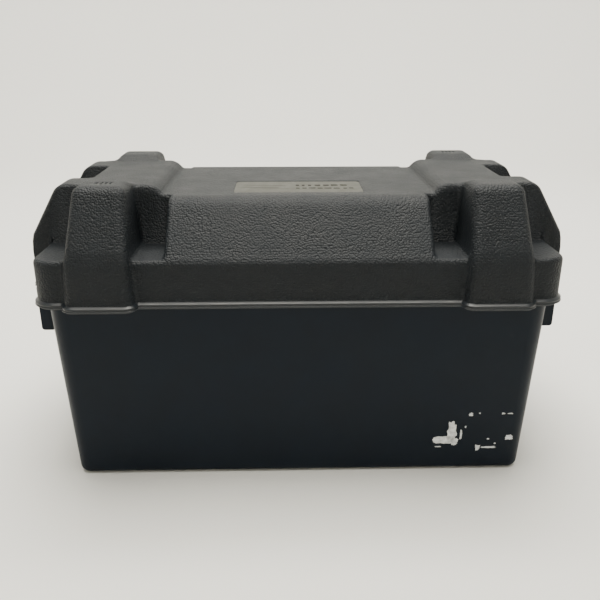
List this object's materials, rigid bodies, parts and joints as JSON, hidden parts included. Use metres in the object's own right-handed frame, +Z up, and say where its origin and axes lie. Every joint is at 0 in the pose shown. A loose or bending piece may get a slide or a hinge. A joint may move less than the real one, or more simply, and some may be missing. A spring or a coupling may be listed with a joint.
{
  "type": "deep cycle battery",
  "caption": "Deep cycle battery in a closed box: drafted tub, pebbled lift-off lid with corner towers, ridges and vent slots, ribbed end grips.",
  "frame": {"origin": "middle of the box's underside, on the surface it stands on", "axes": "+X along the length towards the right end, +Y towards the back, +Z up; the label plate is on the front (-Y) half of the lid"},
  "size_m": [0.432, 0.2456, 0.241],
  "materials": {
    "tub_plastic": "moulded polypropylene, satin",
    "lid_plastic": "moulded polypropylene with a pebbled grain",
    "label_plate": "thin printed foil, satin",
    "divider_plastic": "moulded polypropylene",
    "battery_case": "moulded polypropylene, light grey",
    "battery_label": "coated label",
    "cap_plastic": "moulded polypropylene, black",
    "seal_rubber": "moulded",
    "positive_lead": "pasted lead grid, brown oxide",
    "negative_lead": "pasted lead grid, grey sponge lead",
    "separator_sheet": "microporous sheet",
    "strap_lead": "cast lead alloy, dull",
    "stud_steel": "stainless steel",
    "wing_nut_steel": "stainless steel, die cast",
    "positive_ring": "moulded, red",
    "negative_ring": "moulded, black"
  },
  "bodies": {
    "box": {"battery_container": "battery_case", "battery_cover": "battery_case", "battery_label": "battery_label", "cell_link_1": "strap_lead", "cell_link_2": "strap_lead", "cell_link_3": "strap_lead", "cell_link_4": "strap_lead", "cell_link_5": "strap_lead", "negative_plates_1": "negative_lead", "negative_plates_2": "negative_lead", "negative_plates_3": "negative_lead", "negative_plates_4": "negative_lead", "negative_plates_5": "negative_lead", "negative_plates_6": "negative_lead", "negative_ring": "negative_ring", "negative_stud": "stud_steel", "negative_terminal": "strap_lead", "positive_plates_1": "positive_lead", "positive_plates_2": "positive_lead", "positive_plates_3": "positive_lead", "positive_plates_4": "positive_lead", "positive_plates_5": "positive_lead", "positive_plates_6": "positive_lead", "positive_ring": "positive_ring", "positive_stud": "stud_steel", "positive_terminal": "strap_lead", "separators_1": "separator_sheet", "separators_2": "separator_sheet", "separators_3": "separator_sheet", "separators_4": "separator_sheet", "separators_5": "separator_sheet", "separators_6": "separator_sheet", "tub": "tub_plastic"},
    "lid": {"lid": "lid_plastic", "lid_label_plate": "label_plate"},
    "divider_left": {"divider_left": "divider_plastic"},
    "divider_right": {"divider_right": "divider_plastic"},
    "cap_seal_1": {"cap_seal_1": "seal_rubber"},
    "vent_cap_1": {"vent_cap_1": "cap_plastic"},
    "cap_seal_2": {"cap_seal_2": "seal_rubber"},
    "vent_cap_2": {"vent_cap_2": "cap_plastic"},
    "cap_seal_3": {"cap_seal_3": "seal_rubber"},
    "vent_cap_3": {"vent_cap_3": "cap_plastic"},
    "cap_seal_4": {"cap_seal_4": "seal_rubber"},
    "vent_cap_4": {"vent_cap_4": "cap_plastic"},
    "cap_seal_5": {"cap_seal_5": "seal_rubber"},
    "vent_cap_5": {"vent_cap_5": "cap_plastic"},
    "cap_seal_6": {"cap_seal_6": "seal_rubber"},
    "vent_cap_6": {"vent_cap_6": "cap_plastic"},
    "positive_washer": {"positive_washer": "stud_steel"},
    "positive_wing_nut": {"positive_wing_nut": "wing_nut_steel"},
    "negative_washer": {"negative_washer": "stud_steel"},
    "negative_wing_nut": {"negative_wing_nut": "wing_nut_steel"}
  },
  "joints": [
    {"name": "lid_lift", "type": "slide", "parent": "box", "child": "lid", "axis": [0, 0, 1], "range_m": [0, 0.12]},
    {"name": "divider_left_slide", "type": "slide", "parent": "box", "child": "divider_left", "axis": [0, 0, 1], "range_m": [0, 0.03]},
    {"name": "divider_right_slide", "type": "slide", "parent": "box", "child": "divider_right", "axis": [0, 0, 1], "range_m": [0, 0.03]},
    {"name": "cap_1_rise", "type": "slide", "parent": "box", "child": "cap_seal_1", "axis": [0, 0, 1], "range_m": [0, 0.003]},
    {"name": "cap_1_turn", "type": "hinge", "parent": "cap_seal_1", "child": "vent_cap_1", "pos_m": [-0.12, 0, 0.2], "axis": [0, 0, 1], "range_deg": [0, 90]},
    {"name": "cap_2_rise", "type": "slide", "parent": "box", "child": "cap_seal_2", "axis": [0, 0, 1], "range_m": [0, 0.003]},
    {"name": "cap_2_turn", "type": "hinge", "parent": "cap_seal_2", "child": "vent_cap_2", "pos_m": [-0.072, 0, 0.2], "axis": [0, 0, 1], "range_deg": [0, 90]},
    {"name": "cap_3_rise", "type": "slide", "parent": "box", "child": "cap_seal_3", "axis": [0, 0, 1], "range_m": [0, 0.003]},
    {"name": "cap_3_turn", "type": "hinge", "parent": "cap_seal_3", "child": "vent_cap_3", "pos_m": [-0.024, 0, 0.2], "axis": [0, 0, 1], "range_deg": [0, 90]},
    {"name": "cap_4_rise", "type": "slide", "parent": "box", "child": "cap_seal_4", "axis": [0, 0, 1], "range_m": [0, 0.003]},
    {"name": "cap_4_turn", "type": "hinge", "parent": "cap_seal_4", "child": "vent_cap_4", "pos_m": [0.024, 0, 0.2], "axis": [0, 0, 1], "range_deg": [0, 90]},
    {"name": "cap_5_rise", "type": "slide", "parent": "box", "child": "cap_seal_5", "axis": [0, 0, 1], "range_m": [0, 0.003]},
    {"name": "cap_5_turn", "type": "hinge", "parent": "cap_seal_5", "child": "vent_cap_5", "pos_m": [0.072, 0, 0.2], "axis": [0, 0, 1], "range_deg": [0, 90]},
    {"name": "cap_6_rise", "type": "slide", "parent": "box", "child": "cap_seal_6", "axis": [0, 0, 1], "range_m": [0, 0.003]},
    {"name": "cap_6_turn", "type": "hinge", "parent": "cap_seal_6", "child": "vent_cap_6", "pos_m": [0.12, 0, 0.2], "axis": [0, 0, 1], "range_deg": [0, 90]},
    {"name": "positive_nut_rise", "type": "slide", "parent": "box", "child": "positive_washer", "axis": [0, 0, 1], "range_m": [0, 0.01588]},
    {"name": "positive_nut_turn", "type": "hinge", "parent": "positive_washer", "child": "positive_wing_nut", "pos_m": [-0.14, -0.047, 0.2], "axis": [0, 0, 1], "range_deg": [0, 3600]},
    {"name": "negative_nut_rise", "type": "slide", "parent": "box", "child": "negative_washer", "axis": [0, 0, 1], "range_m": [0, 0.01588]},
    {"name": "negative_nut_turn", "type": "hinge", "parent": "negative_washer", "child": "negative_wing_nut", "pos_m": [0.14, -0.047, 0.2], "axis": [0, 0, 1], "range_deg": [0, 3600]}
  ],
  "couplings": [
    {"joint": "cap_1_rise", "follows": "cap_1_turn", "m_per_rad": 0.0019099},
    {"joint": "cap_2_rise", "follows": "cap_2_turn", "m_per_rad": 0.0019099},
    {"joint": "cap_3_rise", "follows": "cap_3_turn", "m_per_rad": 0.0019099},
    {"joint": "cap_4_rise", "follows": "cap_4_turn", "m_per_rad": 0.0019099},
    {"joint": "cap_5_rise", "follows": "cap_5_turn", "m_per_rad": 0.0019099},
    {"joint": "cap_6_rise", "follows": "cap_6_turn", "m_per_rad": 0.0019099},
    {"joint": "positive_nut_rise", "follows": "positive_nut_turn", "m_per_rad": 0.00025266},
    {"joint": "negative_nut_rise", "follows": "negative_nut_turn", "m_per_rad": 0.00025266}
  ]
}
